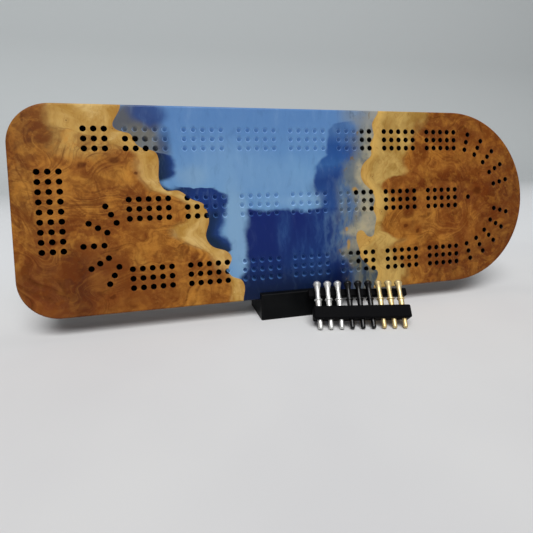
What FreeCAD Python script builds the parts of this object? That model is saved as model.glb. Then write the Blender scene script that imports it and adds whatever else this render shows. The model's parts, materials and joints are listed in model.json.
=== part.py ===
"""Cribbage board of burl wood and poured resin, leaning in a block stand, with nine turned
metal pegs in a small rack that leans on the front of the stand.

Row frame: millimetres, +X to the right along the board, +Y to the back, +Z up.
The origin is the centre of the stand's underside, on the table.
"""
import FreeCAD
import Part
import Sketcher
import math
import os

# Driving dimensions: alias, value in millimetres or degrees, what it is.
SIZES = [
    ("board_length", 391.2, "tip of the round end to the square end"),
    ("board_width", 137.0, "also twice the radius of the round end"),
    ("board_thickness", 19.0, "three quarters of an inch"),
    ("corner_radius", 26.0, "the two corners of the square end"),
    ("edge_radius", 1.4, "rounding all round both faces"),
    ("board_lean", 10.0, "degrees that the board leans back"),
    ("board_shift", 9.5, "middle of the board, right of the stand's middle"),
    ("board_clearance", 0.3, "between the board and the stand's slot"),
    ("hole_pitch", 6.35, "quarter-inch drilling template"),
    ("street_rise", 46.2, "middle street to the upper or lower street"),
    ("first_column", -125.5, "first hole of a street, from the board's middle"),
    ("turn_step", 15.0, "degrees between the rows of holes in the wide turn"),
    ("inner_step", 30.0, "degrees between the rows of holes in the tight turn"),
    ("games_gap", 53.9, "games counter, left of the first column"),
    ("start_gap", 25.4, "starting holes, left of the first column"),
    ("hole_diameter", 3.25, "for an eighth-inch peg"),
    ("hole_mouth", 4.1, "across the small countersink"),
    ("hole_depth", 9.5, "blind hole, without the drill point"),
    ("stand_length", 60.0, "block along X"),
    ("stand_depth", 33.0, "block along Y"),
    ("lip_height", 19.4, "front lip above the table"),
    ("lip_thickness", 5.0, "front lip at its top"),
    ("back_height", 30.0, "rear wall behind the board"),
    ("slot_height", 14.0, "front edge of the slot's floor above the table"),
    ("stand_rounding", 1.0, "outer edges of the block"),
    ("slot_rounding", 0.4, "mouth of the slot"),
    ("rack_across", 32.9, "middle of the peg row, right of the origin"),
    ("rack_forward", 49.8, "middle of the row of peg tips, in front of the origin"),
    ("rack_turn", 12.6, "degrees that the rack is turned about Z"),
    ("rack_lean", 38.0, "degrees that the rack leans back"),
    ("rack_lift", 1.05, "middle of a peg's tip above the table"),
    ("peg_spacing", 7.33, "between pegs"),
    ("strip_length", 67.4, "lower bar of the rack"),
    ("strip_base", 6.3, "peg tip to the underside of the bar"),
    ("strip_tall", 9.0, "bar along the pegs"),
    ("strip_thick", 9.4, "bar front to back"),
    ("strip_rounding", 1.2, "edges of the bar"),
    ("strip_bore", 1.64, "radius of the bar's peg holes"),
    ("rail_length", 71.2, "rear rail of the rack"),
    ("rail_shift", 0.6, "middle of the rail, right of the row's middle"),
    ("rail_base", 24.6, "peg tip to the underside of the rear rail"),
    ("rail_tall", 5.4, "rail along the pegs"),
    ("rail_thick", 5.4, "rail front to back"),
    ("rail_setback", 4.4, "peg axis to the front of the rail"),
    ("rail_rounding", 0.8, "edges of the rail"),
    ("post_width", 2.4, "posts that join the bar to the rail"),
    ("post_thick", 2.6, "posts front to back"),
    ("post_shift", 1.8, "posts right of the outer pegs"),
    ("post_inset", 0.2, "posts above the rounding of the bar's lower edge"),
    ("peg_length", 34.5, "tip to the top of the head"),
    ("peg_tip_radius", 1.2, "flat of the tip"),
    ("peg_tip_taper", 1.0, "length of the tip's taper"),
    ("peg_radius", 1.575, "shank, an eighth of an inch across"),
    ("shoulder_gap", 0.35, "top of the bar to the shoulder, the thicker part under the collar"),
    ("shoulder_foot", 1.85, "radius of the shoulder at its lower end"),
    ("shoulder_radius", 2.05, "radius of the shoulder at the collar"),
    ("collar_base", 20.0, "tip to the collar"),
    ("collar_height", 1.1, "collar along the peg"),
    ("collar_radius", 2.75, "collar"),
    ("collar_edge", 0.3, "bevel of the collar's rims"),
    ("neck_foot", 1.75, "radius where the neck meets the collar"),
    ("waist_radius", 1.5, "narrowest part of the neck"),
    ("waist_height", 25.4, "tip to the waist"),
    ("head_radius", 2.8, "widest part of the head"),
    ("head_height", 32.2, "tip to the widest part of the head"),
    ("head_rounding", 0.5, "rim of the head"),
]

# The poured edge between wood and resin, from the top of the board to the bottom, in
# millimetres from the board's middle. Both edges run past the board at each end.
LEFT_EDGE = [
    (-129, 72), (-129, 63), (-132.5, 54), (-128, 51), (-122, 49), (-119, 43), (-113, 39.5),
    (-107, 37.5), (-105, 29), (-105, 17), (-101, 11.7), (-94, 11.5), (-88, 8), (-84, 5),
    (-77, 2), (-74.5, -3), (-73.5, -11), (-76, -20.5), (-71, -28.5), (-62, -32), (-58.7, -37),
    (-61.5, -45), (-59, -50), (-52.5, -53), (-50.3, -60), (-51.5, -66), (-50.5, -72),
]
RIGHT_EDGE = [
    (61, 72), (58.5, 64), (55, 58), (56, 49), (52.8, 43), (53.5, 35), (48.5, 30), (44, 21),
    (46, 14), (52, 8), (55.3, 0), (53.7, -7), (55.7, -12), (54.3, -22), (52.5, -27.5),
    (48, -27.3), (44, -23), (40.5, -23.2), (38.6, -30), (40.5, -37), (42, -44), (46, -48),
    (50, -52.3), (55.5, -55), (55, -60), (52.5, -65.5), (52, -72),
]

STREETS = 3                 # straight runs of holes
GROUPS_PER_STREET = 7       # groups of five in a street
HOLES_PER_GROUP = 5
GROUP_STEP = 6              # pitches from one group to the next
STREET_END = 40             # pitches from the first column to the wide turn's centre
FINISH_STEP = 2             # pitches from the wide turn's centre to the finish hole
TRACKS = (-1, 0, 1)         # one track for each player
GAMES_ROWS = 9
REGION_MARGIN = 20.0        # how far a cutting region runs past the board
PEG_COLOURS = ("silver", "black", "gold")
PEGS_PER_COLOUR = 3
FULL_TURN = 360.0
QUARTER_TURN = 90.0
DRILL_POINT = 118.0         # degrees
COUNTERSINK = 90.0          # degrees
EPSILON = 1e-6

# Sketcher's own numbers for its axes and for the points of an edge.
H_AXIS, V_AXIS = -1, -2
ORIGIN_POINT = 1
START, END, CENTRE = 1, 2, 3


def make_sheet(doc):
    """Put every driving dimension in one spreadsheet, each with its own alias."""
    sheet = doc.addObject("Spreadsheet::Sheet", "Sizes")
    for row, (alias, value, note) in enumerate(SIZES, start=1):
        sheet.set(f"A{row}", note)
        sheet.set(f"B{row}", str(value))
        sheet.setAlias(f"B{row}", alias)
    doc.recompute()
    return sheet


def bind(target, **expressions):
    """Bind properties of an object to expressions on the sheet's aliases."""
    for name, expression in expressions.items():
        target.setExpression(name, expression)


def origin_plane(body, role):
    """One of a body's own origin planes."""
    return next(item for item in body.Origin.OriginFeatures if item.Role == role)


def new_sketch(body, name, role):
    """A sketch on one of its body's own origin planes."""
    sketch = body.newObject("Sketcher::SketchObject", name)
    sketch.AttachmentSupport = [(origin_plane(body, role), "")]
    sketch.MapMode = "FlatFace"
    return sketch


def vector(across, up):
    """A point of a sketch."""
    return FreeCAD.Vector(across, up, 0)


def arc_between(start, end, centre):
    """The arc from start to end the short way, or the half circle that runs anticlockwise."""
    first = math.atan2(start.y - centre.y, start.x - centre.x)
    last = math.atan2(end.y - centre.y, end.x - centre.x)
    circle = Part.Circle(centre, FreeCAD.Vector(0, 0, 1), start.distanceToPoint(centre))
    anticlockwise = (last - first) % (2 * math.pi) <= math.pi + EPSILON
    if anticlockwise:
        return Part.ArcOfCircle(circle, first, last), (START, END)
    return Part.ArcOfCircle(circle, last, first), (END, START)


def arc_centre(start, end, across=None, level=None):
    """Centre of the arc through two points, on a line of given X (across) or Y (level)."""
    middle = (start + end) * 0.5
    chord = end - start
    if across is not None:
        return vector(across, middle.y - (across - middle.x) * chord.x / chord.y)
    return vector(middle.x - (level - middle.y) * chord.y / chord.x, level)


def fix_point(sketch, geometry, position, expressions):
    """Drive a point's X and Y by expressions, or hold it on an axis where one is zero."""
    kinds = ("DistanceX", "DistanceY")
    axes = (V_AXIS, H_AXIS)
    for kind, axis, expression in zip(kinds, axes, expressions):
        if expression is None:
            continue
        value = sketch.evalExpression(expression)
        if abs(value) < EPSILON:
            sketch.addConstraint(Sketcher.Constraint("PointOnObject", geometry, position, axis))
            continue
        number = sketch.addConstraint(
            Sketcher.Constraint(kind, H_AXIS, ORIGIN_POINT, geometry, position, value))
        sketch.setExpression(f"Constraints[{number}]", expression)


def bound_outline(sketch, corners):
    """A closed outline whose corners are pairs of expressions, in order round it.

    A corner may add ("across", expression) or ("level", expression): the edge that leaves it
    is then an arc whose centre has that X or that Y. Other edges are straight.
    """
    points = [vector(*(sketch.evalExpression(item) for item in corner[:2])) for corner in corners]
    ends = []
    for number, corner in enumerate(corners):
        start, end = points[number], points[(number + 1) % len(points)]
        if len(corner) == 2:
            geometry = sketch.addGeometry(Part.LineSegment(start, end), False)
            ends.append((geometry, START, END))
            continue
        kind, expression = corner[2]
        centre = arc_centre(start, end, **{kind: sketch.evalExpression(expression)})
        edge, order = arc_between(start, end, centre)
        geometry = sketch.addGeometry(edge, False)
        ends.append((geometry, *order))
    for number, (geometry, start, end) in enumerate(ends):
        following, next_start = ends[(number + 1) % len(ends)][:2]
        sketch.addConstraint(
            Sketcher.Constraint("Coincident", geometry, end, following, next_start))
        fix_point(sketch, geometry, start, corners[number][:2])
        if len(corners[number]) == 3:
            kind, expression = corners[number][2]
            wanted = (expression, None) if kind == "across" else (None, expression)
            fix_point(sketch, geometry, CENTRE, wanted)


def edges_where(feature, test):
    """Names of a feature's edges whose middle point passes a test."""
    names = []
    for number, edge in enumerate(feature.Shape.Edges, start=1):
        middle = edge.valueAt((edge.FirstParameter + edge.LastParameter) / 2)
        if test(middle):
            names.append(f"Edge{number}")
    return names


def round_edges(body, name, base, test, radius):
    """A fillet on the edges that pass a test, with its radius bound to the sheet."""
    body.Document.recompute()
    fillet = body.newObject("PartDesign::Fillet", name)
    fillet.Base = (base, edges_where(base, test))
    bind(fillet, Radius=radius)
    return fillet


# ---------------------------------------------------------------- the board's holes

def street_holes(sheet):
    """Three straight streets, each of seven groups of five, on three tracks."""
    pitch = sheet.hole_pitch
    for street in range(STREETS):
        middle = (street - 1) * sheet.street_rise
        for group in range(GROUPS_PER_STREET):
            for hole in range(HOLES_PER_GROUP):
                across = sheet.first_column + (group * GROUP_STEP + hole) * pitch
                for track in TRACKS:
                    yield across, middle + track * pitch


def wide_turn_holes(sheet):
    """Ten rows of three round the right end, five above the middle and five below."""
    centre = sheet.first_column + STREET_END * sheet.hole_pitch
    for side in (1, -1):
        for row in range(1, HOLES_PER_GROUP + 1):
            angle = math.radians(row * sheet.turn_step)
            for track in TRACKS:
                radius = sheet.street_rise + track * sheet.hole_pitch
                yield centre + radius * math.sin(angle), side * radius * math.cos(angle)


def tight_turn_holes(sheet):
    """Five rows of three on the left, from the lower street round to the middle street."""
    for row in range(HOLES_PER_GROUP):
        angle = math.radians((row - HOLES_PER_GROUP // 2) * sheet.inner_step)
        for track in TRACKS:
            radius = sheet.street_rise / 2 + track * sheet.hole_pitch
            across = sheet.first_column - radius * math.cos(angle)
            yield across, radius * math.sin(angle) - sheet.street_rise / 2


def counter_holes(sheet):
    """The games counter, the starting holes and the one finish hole."""
    pitch = sheet.hole_pitch
    for column in range(len(TRACKS)):
        for row in range(GAMES_ROWS):
            games = sheet.first_column - sheet.games_gap + column * pitch
            yield games, (row - GAMES_ROWS // 2) * pitch
        for track in TRACKS:
            start = sheet.first_column - sheet.start_gap + column * pitch
            yield start, sheet.street_rise + track * pitch
    yield sheet.first_column + (STREET_END + FINISH_STEP) * pitch, 0.0


def hole_centres(sheet):
    """Every peg hole of the board, from the board's middle."""
    for family in (street_holes, wide_turn_holes, tight_turn_holes, counter_holes):
        yield from family(sheet)


# ---------------------------------------------------------------- the board

def board_blank(doc, sheet):
    """The whole board as one slab: outline, rounded edges and every peg hole."""
    body = doc.addObject("PartDesign::Body", "BoardBlank")
    outline = new_sketch(body, "BoardOutline", "XY_Plane")
    half_width, tip = "Sizes.board_width / 2", "Sizes.board_length / 2"
    corner, turn = "Sizes.corner_radius", f"{tip} - {half_width}"
    bound_outline(outline, [
        (turn, f"-{half_width}", ("across", turn)),
        (turn, half_width),
        (f"{corner} - {tip}", half_width, ("across", f"{corner} - {tip}")),
        (f"-{tip}", f"{half_width} - {corner}"),
        (f"-{tip}", f"{corner} - {half_width}", ("across", f"{corner} - {tip}")),
        (f"{corner} - {tip}", f"-{half_width}"),
    ])
    slab = body.newObject("PartDesign::Pad", "BoardSlab")
    slab.Profile = outline
    slab.Reversed = True
    bind(slab, Length="Sizes.board_thickness")
    faces = (0.0, -sheet.board_thickness)
    rounded = round_edges(
        body, "BoardRounding", slab,
        lambda middle: min(abs(middle.z - face) for face in faces) < EPSILON,
        "Sizes.edge_radius")
    centres = new_sketch(body, "HoleCentres", "XY_Plane")
    radius = sheet.hole_diameter / 2
    circles = [
        Part.Circle(vector(across, up), FreeCAD.Vector(0, 0, 1), radius)
        for across, up in hole_centres(sheet)]
    centres.addGeometry(circles, False)
    doc.recompute()
    slab_volume = rounded.Shape.Volume
    holes = body.newObject("PartDesign::Hole", "PegHoles")
    holes.Profile = centres
    holes.DepthType = "Dimension"
    holes.DrillPoint = "Angled"
    holes.DrillPointAngle = DRILL_POINT
    holes.HoleCutType = "Countersink"
    holes.HoleCutCustomValues = True
    holes.HoleCutCountersinkAngle = COUNTERSINK
    bind(
        holes, Diameter="Sizes.hole_diameter", Depth="Sizes.hole_depth",
        HoleCutDiameter="Sizes.hole_mouth")
    doc.recompute()
    drilled = slab_volume - holes.Shape.Volume
    expected = len(circles) * math.pi * radius ** 2 * sheet.hole_depth
    if drilled < expected:
        raise RuntimeError(f"the holes take out {drilled:.0f} mm3 of {expected:.0f}")
    return body


def edge_region(doc, name, edge_points, far_side):
    """A block of space on one side of a poured edge, deeper than the board."""
    body = doc.addObject("PartDesign::Body", name)
    sketch = new_sketch(body, f"{name}Outline", "XY_Plane")
    points = [vector(*point) for point in edge_points]
    curve = Part.BSplineCurve()
    curve.interpolate(points)
    far_top, far_bottom = vector(far_side, points[0].y), vector(far_side, points[-1].y)
    sketch.addGeometry([
        curve,
        Part.LineSegment(points[-1], far_bottom),
        Part.LineSegment(far_bottom, far_top),
        Part.LineSegment(far_top, points[0]),
    ], False)
    pad = body.newObject("PartDesign::Pad", f"{name}Pad")
    pad.Profile = sketch
    pad.Midplane = True
    bind(pad, Length=f"2 * (Sizes.board_thickness + {REGION_MARGIN})")
    return body


def board_placement(sheet):
    """The board's middle on its front face, with the foot of that face in the slot."""
    lean = math.radians(sheet.board_lean)
    up_board = FreeCAD.Vector(0, math.sin(lean), math.cos(lean))
    to_back = FreeCAD.Vector(0, math.cos(lean), -math.sin(lean))
    lip_foot = sheet.lip_thickness - (sheet.lip_height - sheet.slot_height) * math.tan(lean)
    slot_corner = FreeCAD.Vector(
        sheet.board_shift, lip_foot - sheet.stand_depth / 2, sheet.slot_height)
    foot = slot_corner + (up_board + to_back) * sheet.board_clearance
    rotation = FreeCAD.Rotation(FreeCAD.Vector(1, 0, 0), QUARTER_TURN - sheet.board_lean)
    return FreeCAD.Placement(foot + up_board * (sheet.board_width / 2), rotation)


def make_board(doc, sheet):
    """Two burl slabs and the resin poured between them, cut from the drilled blank."""
    blank = board_blank(doc, sheet)
    far = sheet.board_length / 2 + REGION_MARGIN
    left = edge_region(doc, "LeftRegion", LEFT_EDGE, -far)
    right = edge_region(doc, "RightRegion", RIGHT_EDGE, far)
    both = doc.addObject("Part::MultiFuse", "WoodRegions")
    both.Shapes = [left, right]
    pieces = []
    for label, kind, region in (
            ("burl_left", "Part::Common", left),
            ("burl_right", "Part::Common", right),
            ("resin_river", "Part::Cut", both)):
        piece = doc.addObject(kind, label)
        piece.Base = blank
        piece.Tool = region
        piece.Label = label
        piece.Placement = board_placement(sheet)
        pieces.append(piece)
    return pieces


# ---------------------------------------------------------------- the stand

def make_stand(doc, sheet):
    """A solid block with a leaning slot: low lip in front, higher wall behind."""
    body = doc.addObject("PartDesign::Body", "display_stand")
    body.Label = "display_stand"
    profile = new_sketch(body, "StandProfile", "YZ_Plane")
    half, lean = "Sizes.stand_depth / 2", "Sizes.board_lean"
    width = "(Sizes.board_thickness + 2 * Sizes.board_clearance)"
    lip_inside = f"Sizes.lip_thickness - {half}"
    front_y = f"{lip_inside} - (Sizes.lip_height - Sizes.slot_height) * tan({lean})"
    back_y = f"{front_y} + {width} * cos({lean})"
    back_z = f"(Sizes.slot_height - {width} * sin({lean}))"
    wall_y = f"{back_y} + (Sizes.back_height - {back_z}) * tan({lean})"
    bound_outline(profile, [
        (f"-{half}", "0"),
        (half, "0"),
        (half, "Sizes.back_height"),
        (wall_y, "Sizes.back_height"),
        (back_y, back_z),
        (front_y, "Sizes.slot_height"),
        (lip_inside, "Sizes.lip_height"),
        (f"-{half}", "Sizes.lip_height"),
    ])
    block = body.newObject("PartDesign::Pad", "StandBlock")
    block.Profile = profile
    block.Midplane = True
    bind(block, Length="Sizes.stand_length")
    doc.recompute()
    half_depth, half_length = sheet.stand_depth / 2, sheet.stand_length / 2

    def on_outside(middle):
        on_front_or_back = abs(abs(middle.y) - half_depth) < EPSILON
        on_end = abs(abs(middle.x) - half_length) < EPSILON
        on_top = abs(middle.z - sheet.back_height) < EPSILON and on_end
        under = abs(middle.z) < EPSILON
        return (on_front_or_back or on_top) and not under

    outer = round_edges(body, "StandRounding", block, on_outside, "Sizes.stand_rounding")
    lip_y = sheet.lip_thickness - half_depth
    round_edges(
        body, "SlotRounding", outer,
        lambda middle: abs(middle.z - sheet.lip_height) < EPSILON and abs(middle.y - lip_y) < EPSILON,
        "Sizes.slot_rounding")
    return body


# ---------------------------------------------------------------- the peg rack

def rack_placement(sheet):
    """Middle of the row of peg tips: X along the row, Z up the pegs, Y to the back."""
    turn = FreeCAD.Rotation(FreeCAD.Vector(0, 0, 1), -sheet.rack_turn)
    lean = FreeCAD.Rotation(FreeCAD.Vector(1, 0, 0), -sheet.rack_lean)
    tips = FreeCAD.Vector(sheet.rack_across, -sheet.rack_forward, sheet.rack_lift)
    return FreeCAD.Placement(tips, turn.multiply(lean))


def rack_box(doc, sheet, label, extents, rounding=None):
    """A bar of the rack, given as expressions for its low corner and its three sizes."""
    body = doc.addObject("PartDesign::Body", label)
    body.Label = label
    low_x, low_y, low_z, size_x, size_y, size_z = extents
    sketch = new_sketch(body, f"{label}_section", "XY_Plane")
    high_x, high_y = f"{low_x} + {size_x}", f"{low_y} + {size_y}"
    bound_outline(sketch, [(low_x, low_y), (high_x, low_y), (high_x, high_y), (low_x, high_y)])
    bind(sketch, **{"AttachmentOffset.Base.z": low_z})
    pad = body.newObject("PartDesign::Pad", f"{label}_bar")
    pad.Profile = sketch
    bind(pad, Length=size_z)
    if rounding:
        round_edges(body, f"{label}_rounding", pad, lambda middle: True, rounding)
    body.Placement = rack_placement(sheet)
    return body


def make_rack(doc, sheet):
    """Lower bar with a bore for each peg, a rear rail, and two posts that join them."""
    strip = rack_box(
        doc, sheet, "peg_strip",
        ("-Sizes.strip_length / 2", "-Sizes.strip_thick / 2", "Sizes.strip_base",
         "Sizes.strip_length", "Sizes.strip_thick", "Sizes.strip_tall"),
        "Sizes.strip_rounding")
    count = len(PEG_COLOURS) * PEGS_PER_COLOUR
    first = f"-{(count - 1) / 2} * Sizes.peg_spacing"
    doc.recompute()
    solid_volume = strip.Shape.Volume
    bore_sketch = new_sketch(strip, "BoreSketch", "XY_Plane")
    bore_sketch.addGeometry(Part.Circle(
        vector(bore_sketch.evalExpression(first), 0), FreeCAD.Vector(0, 0, 1), sheet.strip_bore))
    fix_point(bore_sketch, 0, CENTRE, (first, "0"))
    radius = bore_sketch.addConstraint(Sketcher.Constraint("Radius", 0, sheet.strip_bore))
    bore_sketch.setExpression(f"Constraints[{radius}]", "Sizes.strip_bore")
    bore = strip.newObject("PartDesign::Pocket", "PegBore")
    bore.Profile = bore_sketch
    bore.Type = "ThroughAll"
    bore.Midplane = True
    row = strip.newObject("PartDesign::LinearPattern", "PegBores")
    row.Originals = [bore]
    row.Direction = (bore_sketch, ["H_Axis"])
    row.Occurrences = count
    bind(row, Length=f"{count - 1} * Sizes.peg_spacing")
    strip.Tip = row
    doc.recompute()
    bored = solid_volume - strip.Shape.Volume
    expected = count * math.pi * sheet.strip_bore ** 2 * sheet.strip_tall
    if abs(bored - expected) > expected / count:
        raise RuntimeError(f"the bores take out {bored:.0f} mm3 of {expected:.0f}")
    rail = rack_box(
        doc, sheet, "rest_rail",
        ("Sizes.rail_shift - Sizes.rail_length / 2", "Sizes.rail_setback", "Sizes.rail_base",
         "Sizes.rail_length", "Sizes.rail_thick", "Sizes.rail_tall"),
        "Sizes.rail_rounding")
    posts = []
    for label, side in (("rack_post_left", first), ("rack_post_right", f"-1 * ({first})")):
        foot = "Sizes.strip_base + Sizes.strip_rounding + Sizes.post_inset"
        posts.append(rack_box(
            doc, sheet, label,
            (f"{side} + Sizes.post_shift - Sizes.post_width / 2", "Sizes.strip_thick / 2", foot,
             "Sizes.post_width", "Sizes.post_thick", f"Sizes.rail_base - ({foot})")))
    return [strip, rail, *posts]


# ---------------------------------------------------------------- the pegs

def make_peg(doc, sheet, label, across):
    """One turned peg: tapered tip, shank, shoulder, collar, waisted neck and domed head."""
    body = doc.addObject("PartDesign::Body", label)
    body.Label = label
    profile = new_sketch(body, f"{label}_profile", "XZ_Plane")
    shoulder_base = "Sizes.strip_base + Sizes.strip_tall + Sizes.shoulder_gap"
    collar_top = "Sizes.collar_base + Sizes.collar_height"
    rim, bevelled = "Sizes.collar_radius", "Sizes.collar_radius - Sizes.collar_edge"
    bound_outline(profile, [
        ("0", "0"),
        ("Sizes.peg_tip_radius", "0"),
        ("Sizes.peg_radius", "Sizes.peg_tip_taper"),
        ("Sizes.peg_radius", shoulder_base),
        ("Sizes.shoulder_foot", shoulder_base),
        ("Sizes.shoulder_radius", "Sizes.collar_base"),
        (bevelled, "Sizes.collar_base"),
        (rim, "Sizes.collar_base + Sizes.collar_edge"),
        (rim, f"{collar_top} - Sizes.collar_edge"),
        (bevelled, collar_top),
        ("Sizes.neck_foot", collar_top, ("level", "Sizes.waist_height")),
        ("Sizes.waist_radius", "Sizes.waist_height", ("level", "Sizes.waist_height")),
        ("Sizes.head_radius", "Sizes.head_height", ("across", "0")),
        ("0", "Sizes.peg_length"),
    ])
    turned = body.newObject("PartDesign::Revolution", f"{label}_turned")
    turned.Profile = profile
    turned.ReferenceAxis = (profile, ["V_Axis"])
    turned.Angle = FULL_TURN
    round_edges(
        body, f"{label}_rim", turned,
        lambda middle: abs(middle.z - sheet.head_height) < EPSILON,
        "Sizes.head_rounding")
    body.Placement = rack_placement(sheet).multiply(
        FreeCAD.Placement(FreeCAD.Vector(across, 0, 0), FreeCAD.Rotation()))
    return body


def make_pegs(doc, sheet):
    """Three pegs of each colour, in a row."""
    count = len(PEG_COLOURS) * PEGS_PER_COLOUR
    pegs = []
    for number in range(count):
        colour = PEG_COLOURS[number // PEGS_PER_COLOUR]
        label = f"{colour}_peg_{number % PEGS_PER_COLOUR + 1}"
        across = (number - (count - 1) / 2) * sheet.peg_spacing
        pegs.append(make_peg(doc, sheet, label, across))
    return pegs


# ---------------------------------------------------------------- the whole part

def check_document(doc, parts):
    """Stop if any object failed, or any sub-part has no sound shape."""
    for item in doc.Objects:
        if "Invalid" in item.State or "Error" in item.State:
            raise RuntimeError(f"{item.Name} is {item.State}")
    for part in parts:
        if part.Shape.isNull() or not part.Shape.isValid():
            raise RuntimeError(f"{part.Label} has no valid shape")
        if len(part.Shape.Solids) != 1:
            raise RuntimeError(f"{part.Label} has {len(part.Shape.Solids)} solids")


def main():
    """Build the document and write one STEP file for each sub-part."""
    doc = FreeCAD.newDocument("CribbageBoard")
    sheet = make_sheet(doc)
    parts = make_board(doc, sheet)
    parts.append(make_stand(doc, sheet))
    parts.extend(make_rack(doc, sheet))
    parts.extend(make_pegs(doc, sheet))
    doc.recompute()
    check_document(doc, parts)
    os.makedirs("parts", exist_ok=True)
    for part in parts:
        part.Shape.exportStep(f"parts/{part.Label}.step")
        print(part.Label, round(part.Shape.Volume), "mm3")


main()
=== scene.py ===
"""Looks of the cribbage board: burl wood, clouded resin, black stand and rack, metal pegs."""
import bpy
import json
import math
from mathutils import Euler, Matrix, Vector

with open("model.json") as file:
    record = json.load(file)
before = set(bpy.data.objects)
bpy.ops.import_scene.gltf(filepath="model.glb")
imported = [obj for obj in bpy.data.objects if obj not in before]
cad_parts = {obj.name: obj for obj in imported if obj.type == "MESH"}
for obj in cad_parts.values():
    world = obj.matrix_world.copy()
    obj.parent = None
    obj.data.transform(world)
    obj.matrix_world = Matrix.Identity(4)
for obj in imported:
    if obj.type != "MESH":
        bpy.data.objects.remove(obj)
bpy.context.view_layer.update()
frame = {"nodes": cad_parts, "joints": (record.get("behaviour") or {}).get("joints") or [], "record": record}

MM = 0.001                      # metres in a millimetre
NODES = frame["nodes"]
BOARD_NODES = ("burl_left", "resin_river", "burl_right")
HALF_LENGTH = 195.6             # board, in millimetres
HALF_WIDTH = 68.5
CORNER = 26.0                   # radius of the square end's corners
RIM = 2.6                       # rounded rim, where no hole can be
HOLE_REACH = -12.6              # below the deepest point of a hole
SURFACE = -0.1                  # just under the front face
FLAT = 1e4                      # makes a patch run right through the board
CHART = 140                     # the charts below lie within this many millimetres of the middle

# Where the resin meets the wood, up the board: height, then place across.
LEFT_SHORE = [(-68, -51), (-53, -54), (-45, -61), (-32, -63), (-20, -76), (-5, -74), (2, -78),
              (8, -89), (12, -101), (20, -105), (36, -106), (41, -115), (50, -124), (54, -131),
              (68, -129)]
RIGHT_SHORE = [(-68, 52), (-55, 55), (-48, 46), (-37, 40), (-28, 52), (-24, 42), (-14, 55),
               (0, 55), (8, 52), (18, 45), (28, 47), (35, 53), (45, 54), (58, 55), (68, 60)]

# Both edges of the blue column, how far the navy water reaches from the left shore, and the
# left edge of the deep part, the same way.
COLUMN_EDGE = [(-68, 10), (-14, 10), (0, 10), (4, 9), (8, 8), (12, 7), (26, 7), (31, 10),
               (35, 16), (54, 18), (58, 24), (61, 44), (68, 60)]
COLUMN_END = [(-68, 22), (-4, 24), (14, 24), (24, 30), (34, 40), (48, 44), (56, 40), (68, 34)]
NAVY_WIDTH = [(-68, -8), (-36, -8), (-33, 4), (-29, 9), (-24, 11), (-16, 11), (-8, 12), (-1, 16),
              (5, 26), (10, 32), (14, 34), (16, 6), (19, 5), (24, 10), (33, 12), (37, 9), (40, -6),
              (68, -8)]
DEEP_EDGE = [(-68, -64), (-57, -57), (-51, -52), (-46, -48), (-35, -47), (-6, -45), (68, -44)]

# Width of the pale sapwood beside the resin, up the board.
LEFT_SAP = [(-68, 9), (-56, 9), (-48, 4), (-40, 6), (-33, 12), (-26, 19), (-14, 23), (-8, 14),
            (-2, 7), (6, 6), (14, 12), (28, 15), (38, 14), (46, 20), (52, 32), (60, 40), (68, 42)]
RIGHT_SAP = [(-68, 26), (-52, 26), (-42, 30), (-32, 30), (-20, 14), (-8, 12), (4, 14), (14, 32),
             (22, 40), (32, 30), (42, 34), (54, 42), (68, 40)]

# Oval patches of the board: x, y, half width, half height, turn in degrees and softness. The
# patches over holes are where the resin's holes are painted black, as painted shade.
LEVEL_GRAIN = (-148, 3, 34, 13, 0, 0.7)
STEEP_GRAIN = (-190, 24, 13, 36, 0, 0.7)
SAP_ISLANDS = [(76, 10, 12, 9, 10, 0.12), (79, -22, 17, 11, 0, 0.12)]
NAVY_GAP = (-99, 16, 5.5, 2.8, 0, 0.6)
NAVY_BRIGHT = (-75, 6, 17, 10, 0, 0.5)
DEEP_GLOWS = [(-19, -18, 5, 14, 0, 1.0), (2, -38, 16, 14, 0, 0.9)]
BRIGHT_BAND = (-4, 2.6, 22, 3.6, 2, 0.8)
GOLD_FLECKS = [(39, 9, 2.6, 1.6, 0, 0.4), (32, -32, 1.6, 3.8, 0, 0.4), (31, -20, 1.4, 1.4, 0, 0.4)]
SHADED_HOLE_PATCHES = [(50, 6.35, 14, 4, 0, 0.12), (46.2, -3.5, 1.0, 9, 0, 0.5), (39.4, -0.4, 0.6, 2.2, 0, 0.5),
               (45.7, 50, 0.9, 6, 0, 0.5), (-117, 40, 13, 8, -30, 0.3)]

# The dark arc on the right slab: its middle, its turn in radians and its half sizes.
DARK_ARC = ((126, -14, 0), (0, 0, -0.2), (42, 31, FLAT))

# Dark knots in the wood: x, y and size.
KNOTS = [(-153, 29, 2.4), (-133, 32, 3.0), (-120, 24, 1.2), (-172, -20, 2.2), (-139, -57, 2.0),
         (82, -21, 1.8), (92, -25, 1.5), (150, 5, 3.4)]

CAMERA_PLACE = (-100.5, -284.37, 122.0)         # millimetres
CAMERA_TILT = 77.737                            # degrees up from straight down
CAMERA_PAN = -15.289                            # degrees round from straight ahead


def tone(red, green, blue):
    """A colour named by its usual 0 to 255 screen values, as linear light."""
    def linear(value):
        value /= 255
        return value / 12.92 if value <= 0.04045 else ((value + 0.055) / 1.055) ** 2.4
    return (linear(red), linear(green), linear(blue), 1.0)


def middle(points, axis):
    """Halfway between the ends that the points reach along an axis."""
    reach = [point.dot(axis) for point in points]
    return (min(reach) + max(reach)) / 2


def board_placement():
    """The middle of the board's front face and the turn of its axes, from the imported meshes."""
    lift = next(joint for joint in frame["joints"] if joint["child"] == "board")
    up = Vector(lift["axis"]).normalized()
    across = Vector((1, 0, 0))
    front = across.cross(up)
    points = [vertex.co for name in BOARD_NODES for vertex in NODES[name].data.vertices]
    face = max(point.dot(front) for point in points)
    origin = across * middle(points, across) + up * middle(points, up) + front * face
    return origin, Matrix((across, up, front)).transposed().to_euler()


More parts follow.
